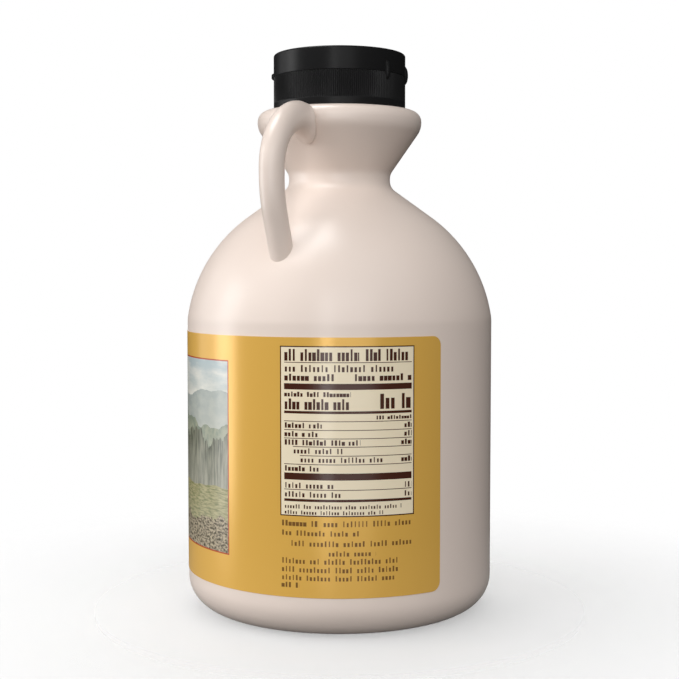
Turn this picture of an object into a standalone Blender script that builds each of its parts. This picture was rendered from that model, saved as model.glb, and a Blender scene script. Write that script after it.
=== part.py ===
"""Quart jug of maple syrup: a blow-moulded plastic jug with a ring handle, a flip-top closure
and a label that wraps most of the way round. The jug is shut and opaque, so it is solid.

The origin is the centre of the base. The front of the label faces -Y, the handle is on +X
and the closure's hinge is on +Y.
"""

import math

import bmesh
import bpy
from mathutils import Matrix, Vector

# Driving dimensions, in millimetres and degrees
BODY_RADIUS = 51.0
BASE_CORNER = 10.9
PUSH_UP_RADIUS = 32.0
PUSH_UP_DEPTH = 1.6
PUSH_UP_EDGE = 1.2
WALL_TOP = 96.7
WALL_TOP_BLEND = 12.0
DOME_RADIUS = 49.7
DOME_FOOT_SLOPE = 8.9
SHOULDER_SLOPE = 54.2
WAIST_CORNER_RADIUS = 14.94
WAIST_HEIGHT = 141.8
WAIST_FILLET = 5.2
COLLAR_RADIUS = 27.4
COLLAR_EDGE_HEIGHT = 159.7
COLLAR_EDGE_FILLET = 6.8
RIM_HEIGHT = 165.5
RIM_FILLET = 3.4

HANDLE_AXIS_HEIGHT = 160.7
HANDLE_REACH = 47.7
HANDLE_BEND = 17.4
HANDLE_DROP = 1.8
HANDLE_LOWER_BEND = 34.5
HANDLE_LOWER_SLOPE = 19.5
HANDLE_TUBE_RADIUS = 3.77
HANDLE_SWELL = 1.7
HANDLE_SIDE_SWELL = 0.6
HANDLE_SWELL_LENGTH = 19.4
HANDLE_ROOT_START = 22.0
HANDLE_LIP_DROP = 2.3
HANDLE_LIP_LENGTH = 1.6
HANDLE_LEAN_START = 1.0
HANDLE_LEAN_LENGTH = 7.0
HANDLE_CROWN = 0.5
HANDLE_END_HEIGHT = 112.0

CLOSURE_RADIUS = 22.0
CLOSURE_HEIGHT = 184.2
PARTING_HEIGHT = 176.8
LID_EDGE = 0.7
PARTING_CHAMFER = 0.3
RIB_COUNT = 200
RIB_FOOT = 168.0
RIB_DEPTH = 0.25
RIB_GROOVE_WIDTH = 0.4
STRAP_ANGLE = 19.5
STRAP_CENTRE = 177.3
STRAP_HALF_HEIGHT = 3.1
STRAP_HALF_WIDTH = 1.1
STRAP_PROUD = 0.95
TAB_PROUD = 2.9
TAB_RADIUS = 7.0
TAB_FOOT = 177.4
TAB_THICKNESS = 1.9
TAB_EDGE = 0.5

LABEL_FOOT = 13.5
LABEL_HEIGHT = 79.1
LABEL_HALF_ANGLE = 153.0
LABEL_CORNER = 3.0
LABEL_THICKNESS = 0.25

GAP = 0.3
CHORD_ERROR = 0.06
BODY_STEPS = 60
CLOSURE_STEPS = 60
TAB_STEPS = 40
HANDLE_SIDES = 16
HANDLE_RING_PITCH = 2.6
LABEL_STEPS = 60
LABEL_CORNER_STEPS = 4

MM = 0.001
MERGE = 0.00001
FRONT = math.radians(-90.0)


def srgb(red, green, blue):
    """A colour given as 0 to 255 display values, turned into the linear values of a shader."""
    linear = []
    for value in (red, green, blue):
        part = value / 255.0
        linear.append(part / 12.92 if part <= 0.04045 else ((part + 0.055) / 1.055) ** 2.4)
    return (*linear, 1.0)


def clear_scene():
    for item in list(bpy.data.objects):
        bpy.data.objects.remove(item, do_unlink=True)


def new_collection(name):
    collection = bpy.data.collections.new(name)
    bpy.context.scene.collection.children.link(collection)
    return collection


def plastic(name, colour, roughness):
    material = bpy.data.materials.new(name)
    material.use_nodes = True
    shader = material.node_tree.nodes["Principled BSDF"]
    shader.inputs["Base Color"].default_value = colour
    shader.inputs["Roughness"].default_value = roughness
    shader.inputs["Metallic"].default_value = 0.0
    return material


def place(mesh, name, collection, material=None):
    item = bpy.data.objects.new(name, mesh)
    collection.objects.link(item)
    if material:
        mesh.materials.clear()
        mesh.materials.append(material)
    return item


def rounded(corners):
    """An outline through (x, z, fillet radius) corners, each fillet an arc of short chords."""
    outline = []
    for index, (x, z, radius) in enumerate(corners):
        if radius == 0.0:
            outline.append((x, z))
            continue
        corner = Vector((x, z))
        back = (Vector(corners[index - 1][:2]) - corner).normalized()
        ahead = (Vector(corners[index + 1][:2]) - corner).normalized()
        half_turn = (math.pi - back.angle(ahead)) / 2.0
        start = corner + back * radius * math.tan(half_turn)
        centre = corner + (back + ahead).normalized() * radius / math.cos(half_turn)
        chord = 2.0 * math.acos(1.0 - CHORD_ERROR / radius)
        steps = max(1, math.ceil(2.0 * half_turn / chord))
        arm = start - centre
        side = 1.0 if back.x * ahead.y - back.y * ahead.x < 0.0 else -1.0
        for step in range(steps + 1):
            angle = side * 2.0 * half_turn * step / steps
            turned = Matrix.Rotation(angle, 2) @ arm
            outline.append(tuple(centre + turned))
    return outline


def turned(name, outline, steps, collection, material=None):
    """A profile of (radius, height) points, top to bottom, turned about Z by a Screw modifier."""
    mesh = bpy.data.meshes.new(name)
    points = [(radius * MM, 0.0, height * MM) for radius, height in outline]
    edges = [(index, index + 1) for index in range(len(points) - 1)]
    mesh.from_pydata(points, edges, [])
    item = place(mesh, name, collection, material)
    screw = item.modifiers.new("turn", "SCREW")
    screw.axis = "Z"
    screw.angle = math.tau
    screw.steps = steps
    screw.render_steps = steps
    screw.use_merge_vertices = True
    screw.merge_threshold = MERGE
    return item


def apply_modifiers(item):
    """Puts the evaluated mesh in place of the modifiers."""
    graph = bpy.context.evaluated_depsgraph_get()
    mesh = bpy.data.meshes.new_from_object(item.evaluated_get(graph))
    item.modifiers.clear()
    item.data = mesh


def combine(item, other, operation):
    """Joins or cuts item with other by an exact Boolean, and removes other."""
    boolean = item.modifiers.new(operation.lower(), "BOOLEAN")
    boolean.operation = operation
    boolean.solver = "EXACT"
    boolean.object = other
    apply_modifiers(item)
    bpy.data.objects.remove(other, do_unlink=True)


def shade(item, degrees=30.0):
    item.data.shade_smooth()
    item.data.set_sharp_from_angle(angle=math.radians(degrees))


def dome_corner():
    """Where the line up from the wall's top meets the line down from the waist."""
    foot = math.tan(math.radians(DOME_FOOT_SLOPE))
    shoulder = math.tan(math.radians(SHOULDER_SLOPE))
    rise = BODY_RADIUS + foot * WALL_TOP - WAIST_CORNER_RADIUS - shoulder * WAIST_HEIGHT
    height = rise / (foot - shoulder)
    return BODY_RADIUS - foot * (height - WALL_TOP), height


def jug_outline():
    """The jug's half section, from the middle of its top to the middle of its base."""
    dome_x, dome_z = dome_corner()
    push_up = PUSH_UP_RADIUS - PUSH_UP_DEPTH
    return rounded([
        (0.0, RIM_HEIGHT, 0.0),
        (COLLAR_RADIUS, RIM_HEIGHT, RIM_FILLET),
        (COLLAR_RADIUS, COLLAR_EDGE_HEIGHT, COLLAR_EDGE_FILLET),
        (WAIST_CORNER_RADIUS, WAIST_HEIGHT, WAIST_FILLET),
        (dome_x, dome_z, DOME_RADIUS),
        (BODY_RADIUS, WALL_TOP, WALL_TOP_BLEND),
        (BODY_RADIUS, 0.0, BASE_CORNER),
        (PUSH_UP_RADIUS, 0.0, PUSH_UP_EDGE),
        (push_up, PUSH_UP_DEPTH, PUSH_UP_EDGE),
        (0.0, PUSH_UP_DEPTH, 0.0),
    ])


def handle_route():
    """Points of the handle's centre line: out from the collar, round and down into the dome."""
    slope = math.radians(HANDLE_LOWER_SLOPE)
    bend_start = HANDLE_REACH - HANDLE_BEND
    bend_foot = HANDLE_AXIS_HEIGHT - HANDLE_BEND
    lower_start = bend_foot - HANDLE_DROP
    lower_foot = lower_start - HANDLE_LOWER_BEND * math.sin(slope)
    lower_x = HANDLE_REACH - HANDLE_LOWER_BEND * (1.0 - math.cos(slope))
    tail = (lower_foot - HANDLE_END_HEIGHT) / math.cos(slope)
    stretches = [
        (bend_start - HANDLE_ROOT_START, HANDLE_RING_PITCH / 2.0,
         lambda t: (HANDLE_ROOT_START + t, HANDLE_AXIS_HEIGHT)),
        (HANDLE_BEND * math.pi / 2.0, HANDLE_RING_PITCH,
         lambda t: (bend_start + HANDLE_BEND * math.sin(t / HANDLE_BEND),
                    bend_foot + HANDLE_BEND * math.cos(t / HANDLE_BEND))),
        (HANDLE_DROP, HANDLE_RING_PITCH,
         lambda t: (HANDLE_REACH, bend_foot - t)),
        (HANDLE_LOWER_BEND * slope, HANDLE_RING_PITCH,
         lambda t: (HANDLE_REACH - HANDLE_LOWER_BEND * (1.0 - math.cos(t / HANDLE_LOWER_BEND)),
                    lower_start - HANDLE_LOWER_BEND * math.sin(t / HANDLE_LOWER_BEND))),
        (tail, HANDLE_RING_PITCH,
         lambda t: (lower_x - t * math.sin(slope), lower_foot - t * math.cos(slope))),
    ]
    route = [(HANDLE_ROOT_START, HANDLE_AXIS_HEIGHT)]
    for length, pitch, point in stretches:
        steps = max(1, round(length / pitch))
        route += [point(length * step / steps) for step in range(1, steps + 1)]
    return route


def handle_radii(along):
    """The tube's half height and half width at a distance out from the collar's face. Both
    swell slowly towards the collar."""
    near = math.exp(-max(along, 0.0) / HANDLE_SWELL_LENGTH)
    half_height = HANDLE_TUBE_RADIUS + HANDLE_SWELL * near
    half_width = HANDLE_TUBE_RADIUS + HANDLE_SIDE_SWELL * near
    return half_height, half_width


def handle_lip(along):
    """How far the tube's lower half reaches down to its lip at a distance out from the collar's
    face, and how much it leans back there to follow the cone under the collar."""
    drop = HANDLE_LIP_DROP * math.exp(-max(along, 0.0) / HANDLE_LIP_LENGTH)
    cone = (COLLAR_RADIUS - WAIST_CORNER_RADIUS) / (COLLAR_EDGE_HEIGHT - WAIST_HEIGHT)
    lean = cone * min(max(1.0 - along / HANDLE_LEAN_LENGTH, 0.0), 1.0)
    return drop, lean


def handle_ceiling(x):
    """The tube's greatest height: under the rim at the closure, rising to a low crown outside."""
    closure_side = COLLAR_RADIUS - RIM_FILLET
    crown_side = HANDLE_REACH - HANDLE_BEND
    share = min(max((x - closure_side) / (crown_side - closure_side), 0.0), 1.0)
    return RIM_HEIGHT - GAP + (GAP + HANDLE_CROWN) * share


def make_handle(collection):
    """The handle's tube as a loft of rings, whose top stays below the collar's rim."""
    route = handle_route()
    mesh = bpy.data.meshes.new("handle")
    shape = bmesh.new()
    rings = []
    along = HANDLE_ROOT_START - COLLAR_RADIUS
    for index, (x, z) in enumerate(route):
        before = Vector(route[max(index - 1, 0)])
        after = Vector(route[min(index + 1, len(route) - 1)])
        if index:
            along += (Vector((x, z)) - before).length
        ahead = (after - before).normalized()
        half_height, half_width = handle_radii(along)
        drop, lean = handle_lip(along)
        ring = []
        for side in range(HANDLE_SIDES):
            turn = math.tau * side / HANDLE_SIDES
            out = half_height * math.cos(turn) + drop * min(math.cos(turn), 0.0)
            height = min(z + out * ahead.x, handle_ceiling(x))
            back = lean * min(out + HANDLE_LEAN_START, 0.0)
            point = Vector((x - out * ahead.y + back, half_width * math.sin(turn), height))
            ring.append(shape.verts.new(point * MM))
        rings.append(ring)
    for ring, following in zip(rings, rings[1:]):
        for side in range(HANDLE_SIDES):
            beside = (side + 1) % HANDLE_SIDES
            shape.faces.new((ring[side], ring[beside], following[beside], following[side]))
    shape.faces.new(rings[0])
    shape.faces.new(reversed(rings[-1]))
    bmesh.ops.recalc_face_normals(shape, faces=shape.faces)
    shape.to_mesh(mesh)
    shape.free()
    return place(mesh, "handle", collection)


def make_jug(collection, tools):
    jug = turned("jug", jug_outline(), BODY_STEPS, collection,
                 plastic("jug_plastic", srgb(232, 216, 204), 0.42))
    combine(jug, make_handle(tools), "UNION")
    shade(jug)


def rib_grooves(tools):
    """A ring of upright three-sided prisms, one for each groove between two ribs."""
    height = PARTING_HEIGHT - RIB_FOOT
    # One corner of a unit prism points inwards, and at its middle the prism is this wide
    unit_width = 2.0 / math.sqrt(3.0)
    size = Matrix.Diagonal((RIB_DEPTH * MM, RIB_GROOVE_WIDTH / unit_width * MM, 1.0, 1.0))
    inwards = Matrix.Rotation(math.pi / 2.0, 4, "Z")
    out = Matrix.Translation((CLOSURE_RADIUS * MM, 0.0, PARTING_HEIGHT * MM))
    shape = bmesh.new()
    for rib in range(RIB_COUNT):
        around = Matrix.Rotation(math.tau * (rib + 0.5) / RIB_COUNT, 4, "Z")
        prism = bmesh.ops.create_cone(shape, cap_ends=True, segments=3, radius1=1.0, radius2=1.0,
                                      depth=2.0 * height * MM)
        bmesh.ops.transform(shape, matrix=around @ out @ size @ inwards, verts=prism["verts"])
    mesh = bpy.data.meshes.new("rib_grooves")
    shape.to_mesh(mesh)
    shape.free()
    return place(mesh, "rib_grooves", tools)


def make_skirt(collection, tools, material):
    foot = RIM_HEIGHT + GAP
    top = PARTING_HEIGHT - GAP
    skirt = turned("closure_skirt", rounded([
        (0.0, top, 0.0),
        (CLOSURE_RADIUS - RIB_DEPTH, top, 0.0),
        (CLOSURE_RADIUS, top - RIB_DEPTH, 0.0),
        (CLOSURE_RADIUS, foot, PARTING_CHAMFER),
        (0.0, foot, 0.0),
    ]), CLOSURE_STEPS, collection, material)
    combine(skirt, rib_grooves(tools), "DIFFERENCE")
    shade(skirt)


def make_strap(angle, tools):
    """One of the hinge's two upright straps: a slim rounded bead set on the closure's side."""
    depth = STRAP_PROUD + GAP
    shape = bmesh.new()
    bmesh.ops.create_uvsphere(shape, u_segments=12, v_segments=10, radius=1.0)
    size = Matrix.Diagonal((depth * MM, STRAP_HALF_WIDTH * MM, STRAP_HALF_HEIGHT * MM, 1.0))
    out = Matrix.Translation(((CLOSURE_RADIUS - GAP) * MM, 0.0, STRAP_CENTRE * MM))
    bmesh.ops.transform(shape, matrix=Matrix.Rotation(angle, 4, "Z") @ out @ size, verts=shape.verts)
    mesh = bpy.data.meshes.new("strap")
    shape.to_mesh(mesh)
    shape.free()
    return place(mesh, "strap", tools)


def make_tab(tools):
    """The thumb tab: an upright disc with rounded edges, most of it inside the lid."""
    tab = turned("tab", rounded([
        (0.0, TAB_FOOT + TAB_THICKNESS, 0.0),
        (TAB_RADIUS, TAB_FOOT + TAB_THICKNESS, TAB_EDGE),
        (TAB_RADIUS, TAB_FOOT, TAB_EDGE),
        (0.0, TAB_FOOT, 0.0),
    ]), TAB_STEPS, tools)
    apply_modifiers(tab)
    out = CLOSURE_RADIUS + TAB_PROUD - TAB_RADIUS
    tab.data.transform(Matrix.Rotation(FRONT, 4, "Z") @ Matrix.Translation((out * MM, 0.0, 0.0)))
    return tab


def make_lid(collection, tools, material):
    lid = turned("closure_lid", rounded([
        (0.0, CLOSURE_HEIGHT, 0.0),
        (CLOSURE_RADIUS, CLOSURE_HEIGHT, LID_EDGE),
        (CLOSURE_RADIUS, PARTING_HEIGHT, PARTING_CHAMFER),
        (0.0, PARTING_HEIGHT, 0.0),
    ]), CLOSURE_STEPS, collection, material)
    # The straps reach down outside the skirt, so what would enter it is cut away
    clear_radius = CLOSURE_RADIUS + GAP
    for side in (-1.0, 1.0):
        strap = make_strap(-FRONT + side * math.radians(STRAP_ANGLE), tools)
        skirt_space = turned("skirt_space", [
            (0.0, PARTING_HEIGHT),
            (clear_radius, PARTING_HEIGHT),
            (clear_radius, RIM_HEIGHT),
            (0.0, RIM_HEIGHT),
        ], CLOSURE_STEPS, tools)
        apply_modifiers(skirt_space)
        combine(strap, skirt_space, "DIFFERENCE")
        combine(lid, strap, "UNION")
    combine(lid, make_tab(tools), "UNION")
    shade(lid)


def label_columns():
    """Pairs of arc length from the label's end and half height there, round its two corners."""
    arc = 2.0 * math.radians(LABEL_HALF_ANGLE) * BODY_RADIUS
    half = LABEL_HEIGHT / 2.0
    corner = []
    for step in range(LABEL_CORNER_STEPS):
        turn = math.pi / 2.0 * step / LABEL_CORNER_STEPS
        inset = LABEL_CORNER * (1.0 - math.sin(turn))
        corner.append((LABEL_CORNER * (1.0 - math.cos(turn)), half - inset))
    straight = arc - 2.0 * LABEL_CORNER
    middle = [(LABEL_CORNER + straight * step / LABEL_STEPS, half) for step in range(LABEL_STEPS + 1)]
    return corner + middle + [(arc - along, reach) for along, reach in reversed(corner)]


def make_label(collection):
    """The label as an open curved sheet just off the jug's wall, thickened outwards."""
    radius = BODY_RADIUS + GAP
    middle = LABEL_FOOT + LABEL_HEIGHT / 2.0
    shape = bmesh.new()
    columns = []
    for along, reach in label_columns():
        angle = FRONT - math.radians(LABEL_HALF_ANGLE) + along / BODY_RADIUS
        columns.append([
            shape.verts.new(Vector((radius * math.cos(angle), radius * math.sin(angle), height)) * MM)
            for height in (middle - reach, middle + reach)
        ])
    for column, following in zip(columns, columns[1:]):
        shape.faces.new((column[0], following[0], following[1], column[1]))
    mesh = bpy.data.meshes.new("label")
    shape.to_mesh(mesh)
    shape.free()
    label = place(mesh, "label", collection, plastic("label_film", srgb(222, 172, 84), 0.45))
    sheet = label.modifiers.new("thickness", "SOLIDIFY")
    sheet.thickness = LABEL_THICKNESS * MM
    sheet.offset = 1.0
    shade(label)


def main():
    clear_scene()
    parts = new_collection("maple_syrup_jug")
    tools = new_collection("tools")
    black = plastic("closure_plastic", srgb(26, 26, 27), 0.38)
    make_jug(parts, tools)
    make_skirt(parts, tools, black)
    make_lid(parts, tools, black)
    make_label(parts)


main()
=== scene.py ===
"""Looks of a quart jug of maple syrup: a beige plastic jug with a ring handle, a black flip-top
closure and a printed gold label. Every surface is worked out with numpy from the sizes below.

The jug stands on the origin. The front of its label faces -Y, its handle is on +X and the
closure's hinge is on +Y. Lengths are in metres, and the label's print is laid out in millimetres.
"""

import math

import bpy
import numpy as np
from bpy.props import FloatProperty, FloatVectorProperty, IntProperty, PointerProperty
from bpy.types import Operator, Panel, PropertyGroup
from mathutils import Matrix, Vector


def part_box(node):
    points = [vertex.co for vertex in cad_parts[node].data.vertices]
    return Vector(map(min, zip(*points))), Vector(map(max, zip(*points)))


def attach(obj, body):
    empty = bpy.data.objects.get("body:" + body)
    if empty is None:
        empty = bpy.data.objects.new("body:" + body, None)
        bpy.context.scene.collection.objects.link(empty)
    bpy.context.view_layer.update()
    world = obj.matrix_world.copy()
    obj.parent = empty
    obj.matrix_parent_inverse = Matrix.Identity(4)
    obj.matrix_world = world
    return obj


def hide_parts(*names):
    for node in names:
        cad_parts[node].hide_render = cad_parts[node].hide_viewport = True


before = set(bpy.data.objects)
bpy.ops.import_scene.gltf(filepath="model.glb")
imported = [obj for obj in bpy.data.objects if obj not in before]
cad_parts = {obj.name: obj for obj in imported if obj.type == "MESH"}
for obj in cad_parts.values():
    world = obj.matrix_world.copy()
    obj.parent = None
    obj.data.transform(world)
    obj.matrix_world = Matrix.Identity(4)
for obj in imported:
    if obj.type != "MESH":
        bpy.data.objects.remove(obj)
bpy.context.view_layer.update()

bl_info = {
    "name": "Maple syrup jug",
    "version": (1, 0, 0),
    "blender": (4, 5, 0),
    "location": "View3D > Sidebar > Syrup jug",
    "description": "Builds a shut jug of maple syrup and the studio that it stands in",
    "category": "Object",
}

BODY = "root"
MILLIMETRE = 0.001
FULL_TURN = 2.0 * math.pi
QUARTER_TURN = math.pi / 2.0
SHARP_ANGLE = math.radians(34.0)

# Directions round the jug's axis, from +X
FRONT = -QUARTER_TURN
BACK = QUARTER_TURN

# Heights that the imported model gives, and the gap that it leaves between two pieces
RIM_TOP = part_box("closure_skirt")[0].z
LID_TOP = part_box("closure_lid")[1].z
LABEL_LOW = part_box("label")[0].z
LABEL_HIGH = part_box("label")[1].z
SEAT_GAP = 0.0003
COLLAR_TOP = RIM_TOP - SEAT_GAP

# Greatest distance between neighbouring points of an outline or path
BODY_ARC_PITCH = 0.0009
BODY_PITCH = 0.0016
HANDLE_PITCH = 0.0003
CLOSURE_ARC_PITCH = 0.0002
LID_PITCH = 0.003
TAB_ARC_PITCH = 0.0001

# Least faces of an arc, and the share of a pitch that a stretch may be too long
LEAST_ARC_STEPS = 6
PITCH_SLACK = 1e-6

# Radius of the fan of triangles that closes the middle of a turned surface
BODY_HUB = 0.004
CLOSURE_HUB = 0.003
TAB_HUB = 0.001
FLOOR_HUB = 0.05

# Faces round the smaller turned pieces
LID_COLUMNS = 240
TAB_COLUMNS = 120
FLOOR_COLUMNS = 128
FACES_PER_RIB = 8

# Power below 1 that widens the grooves between the ribs, and the rows of faces at the ribs' foot,
# in shares of the height in which a rib rises
GROOVE_POWER = 0.7
RIB_FOOT_ROWS = (-2.0, -1.0, 0.0, 0.5, 1.0)

# Rows and sides of a hinge strap, its blunt tips in shares of its height, and how far its lower
# half is kept off the ribs
STRAP_ROWS = 40
STRAP_SIDES = 36
STRAP_TIP = 0.02
STRAP_CLEARANCE = 0.00002

# Least level share of the handle's direction where its top is held under the rim
LEAST_LEVEL = 0.3


def length(name, description, default):
    return FloatProperty(name=name, description=description, default=default, unit="LENGTH", precision=5)


def angle(name, description, degrees):
    return FloatProperty(name=name, description=description, default=math.radians(degrees),
                         subtype="ANGLE", unit="ROTATION")


def factor(name, description, default):
    return FloatProperty(name=name, description=description, default=default, subtype="FACTOR",
                         min=0.0, max=1.0, precision=3)


def lens(name, description, millimetres):
    return FloatProperty(name=name, description=description, default=millimetres, unit="CAMERA")


def colour(name, description, red, green, blue):
    return FloatVectorProperty(name=name, description=description, default=(red, green, blue),
                               subtype="COLOR", size=3, min=0.0, max=1.0)


class SYRUP_PG_body(PropertyGroup):
    """Sizes of the turned body"""
    radius: length("Radius", "Radius of the straight wall", 0.051)
    base_corner: length("Base corner", "Radius of the rounded edge of the base", 0.0109)
    push_up_radius: length("Push-up radius", "Radius of the hollow under the base", 0.032)
    push_up_depth: length("Push-up depth", "Depth of the hollow under the base", 0.0016)
    push_up_edge: length("Push-up edge", "Rounding of the hollow's edges", 0.0012)
    wall_top: length("Wall top", "Height where the dome starts", 0.0967)
    wall_blend: length("Wall blend", "Rounding between wall and dome", 0.012)
    dome_radius: length("Dome radius", "Radius of the dome's section", 0.0497)
    dome_foot_slope: angle("Dome foot slope", "Lean of the dome where it starts", 8.9)
    shoulder_slope: angle("Shoulder slope", "Lean of the shoulder, from upright", 54.2)
    waist_corner: length("Waist corner", "Radius where shoulder and collar lines meet", 0.01494)
    waist_height: length("Waist height", "Height where shoulder and collar lines meet", 0.1418)
    waist_radius: length("Waist radius", "Radius of the upright band at the waist", 0.01695)
    waist_crease: length("Waist crease", "Rounding above the waist's band", 0.0045)
    waist_fillet: length("Waist fillet", "Rounding below the waist's band", 0.0042)
    collar_radius: length("Collar radius", "Greatest radius of the collar", 0.0274)
    collar_edge: length("Collar edge", "Height where the collar turns upright", 0.1597)
    collar_fillet: length("Collar fillet", "Rounding of the collar's lower edge", 0.0068)
    rim_fillet: length("Rim fillet", "Rounding of the collar's rim", 0.0034)
    columns: IntProperty(name="Columns", description="Faces round the body", default=288)


class SYRUP_PG_handle(PropertyGroup):
    """Sizes of the ring handle"""
    axis_height: length("Axis height", "Height of the tube's axis at the collar", 0.1607)
    reach: length("Reach", "Greatest distance of the tube's axis", 0.0477)
    bend: length("Bend", "Radius of the upper bend", 0.0174)
    drop: length("Drop", "Straight stretch below the upper bend", 0.0018)
    lower_bend: length("Lower bend", "Radius of the lower bend", 0.0345)
    lower_slope: angle("Lower slope", "Lean of the foot, from upright", 19.5)
    tube_radius: length("Tube radius", "Radius of the tube at its foot", 0.00377)
    swell: length("Swell", "Added half height at the collar", 0.0017)
    side_swell: length("Side swell", "Added half width at the collar", 0.0006)
    swell_length: length("Swell length", "Distance in which the swell fades", 0.0194)
    root_start: length("Root start", "Where the tube starts inside the collar", 0.022)
    lip_drop: length("Lip drop", "How far the lip at the collar hangs below the tube", 0.0023)
    lip_side: length("Lip side", "How far the lip stands out sideways", 0.0005)
    lip_flat: length("Lip flat", "Thickness of the lip", 0.0011)
    lip_length: length("Lip length", "Distance in which the lip fades into the tube", 0.0007)
    lip_edge: length("Lip edge", "Rounding of the lip's edge", 0.0006)
    lean_start: length("Lean start", "Depth below the axis where the lip leans back", 0.001)
    lean_length: length("Lean length", "Distance in which the lean fades", 0.007)
    crown: length("Crown", "Height of the handle's top over the rim", 0.0005)
    foot_height: length("Foot height", "Where the tube ends inside the dome", 0.112)
    sides: IntProperty(name="Sides", description="Faces round the tube", default=56)


class SYRUP_PG_closure(PropertyGroup):
    """Sizes of the closure"""
    radius: length("Radius", "Radius of the lid and of the ribs' crests", 0.022)
    parting: length("Parting", "Height of the line between skirt and lid", 0.1768)
    lid_edge: length("Lid edge", "Rounding of the lid's top edge", 0.0007)
    parting_edge: length("Parting edge", "Rounding of both edges at the parting line", 0.0001)
    parting_gap: length("Parting gap", "Gap between skirt and lid", 0.00004)
    rib_foot: length("Rib foot", "Height where the ribs start", 0.168)
    rib_depth: length("Rib depth", "Depth of the grooves between the ribs", 0.00025)
    rib_fade: length("Rib fade", "Height in which a rib rises at its foot", 0.0004)
    ribs: IntProperty(name="Ribs", description="Ribs round the skirt", default=200)
    strap_angle: angle("Strap angle", "From the hinge's middle to each strap", 19.5)
    strap_height: length("Strap height", "Height of the straps' middle", 0.1773)
    strap_half_height: length("Strap half height", "Half the height of a strap", 0.0031)
    strap_half_width: length("Strap half width", "Half the width of a strap", 0.0011)
    strap_proud: length("Strap proud", "How far a strap stands out", 0.00095)
    tab_proud: length("Tab proud", "How far the thumb tab stands out", 0.0029)
    tab_radius: length("Tab radius", "Radius of the thumb tab's outline", 0.007)
    tab_foot: length("Tab foot", "Height of the tab's underside", 0.1774)
    tab_thickness: length("Tab thickness", "Thickness of the thumb tab", 0.0019)
    tab_edge: length("Tab edge", "Rounding of the tab's edges", 0.0006)


class SYRUP_PG_label(PropertyGroup):
    """Sizes of the label's film"""
    half_angle: angle("Half angle", "From the label's middle to each end", 153.0)
    corner: length("Corner", "Radius of the label's corners", 0.003)
    thickness: length("Thickness", "Thickness of the film", 0.00012)
    stand_off: length("Stand-off", "Gap between film and wall", 0.00003)
    step: length("Step", "Width of one face of the film", 0.0012)


class SYRUP_PG_finish(PropertyGroup):
    """Colours of the plastics and inks"""
    plastic: colour("Jug plastic", "Colour of the jug", 0.800, 0.686, 0.613)
    closure: colour("Closure plastic", "Colour of the closure", 0.0112, 0.0112, 0.0115)
    gold: colour("Gold ink", "Field of the label", 0.790, 0.460, 0.096)
    gold_metal: factor("Gold metal", "Share of metal in the gold ink", 0.14)
    cream: colour("Cream ink", "Field of the panel", 0.870, 0.760, 0.560)
    brown: colour("Brown ink", "Bars, rules and type on cream", 0.060, 0.018, 0.010)
    umber: colour("Umber ink", "Type on gold", 0.185, 0.090, 0.025)
    russet: colour("Russet ink", "Frame of the picture", 0.440, 0.070, 0.020)


class SYRUP_PG_studio(PropertyGroup):
    """Place of the camera, and size of the floor"""
    camera_azimuth: angle("Camera azimuth", "Round from the label's front to the camera", 115.5)
    camera_distance: length("Camera distance", "From the jug's axis to the camera", 0.4392)
    camera_height: length("Camera height", "Height of the camera", 0.113)
    camera_pitch: angle("Camera pitch", "How far the camera looks down", 3.094)
    focal_length: lens("Focal length", "Lens of a 36 mm wide picture", 68.9)
    floor_radius: length("Floor radius", "Radius of the floor", 1.6)


class SYRUP_PG_settings(PropertyGroup):
    """Every group of sizes and colours"""
    body: PointerProperty(type=SYRUP_PG_body)
    handle: PointerProperty(type=SYRUP_PG_handle)
    closure: PointerProperty(type=SYRUP_PG_closure)
    label: PointerProperty(type=SYRUP_PG_label)
    finish: PointerProperty(type=SYRUP_PG_finish)
    studio: PointerProperty(type=SYRUP_PG_studio)


def rounded_outline(corners, pitch):
    """An outline through rows of (radius, height, fillet). Each fillet is an arc that touches both
    neighbouring lines: its centre lies on the corner's bisector at fillet / cos(half the turn),
    and its points are the start arm turned evenly through the whole turn."""
    corners = np.asarray(corners, float)
    outline = []
    for index, (x, z, fillet) in enumerate(corners):
        corner = np.array([x, z])
        if fillet == 0.0:
            outline.append(corner[None, :])
            continue
        back = corners[index - 1, :2] - corner
        back /= np.linalg.norm(back)
        ahead = corners[index + 1, :2] - corner
        ahead /= np.linalg.norm(ahead)
        turn = math.pi - math.acos(np.clip(back @ ahead, -1.0, 1.0))
        bisector = (back + ahead) / np.linalg.norm(back + ahead)
        centre = corner + bisector * fillet / math.cos(turn / 2.0)
        arm = corner + back * fillet * math.tan(turn / 2.0) - centre
        side = 1.0 if back[0] * ahead[1] - back[1] * ahead[0] < 0.0 else -1.0
        steps = max(LEAST_ARC_STEPS, math.ceil(fillet * turn / pitch))
        angles = side * np.linspace(0.0, turn, steps + 1)
        cosine, sine = np.cos(angles), np.sin(angles)
        arc = np.stack([cosine * arm[0] - sine * arm[1], sine * arm[0] + cosine * arm[1]], axis=1)
        outline.append(centre + arc)
    return np.concatenate(outline)


def filled_in(outline, pitch):
    """The same outline with points added evenly along each stretch longer than pitch."""
    spans = np.linalg.norm(np.diff(outline, axis=0), axis=1)
    counts = np.maximum(1, np.ceil(spans / pitch - PITCH_SLACK)).astype(int)
    starts = np.repeat(np.arange(len(spans)), counts)
    shares = np.concatenate([np.arange(count) / count for count in counts])
    points = outline[starts] + (outline[starts + 1] - outline[starts]) * shares[:, None]
    return np.concatenate([points, outline[-1:]])


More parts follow.
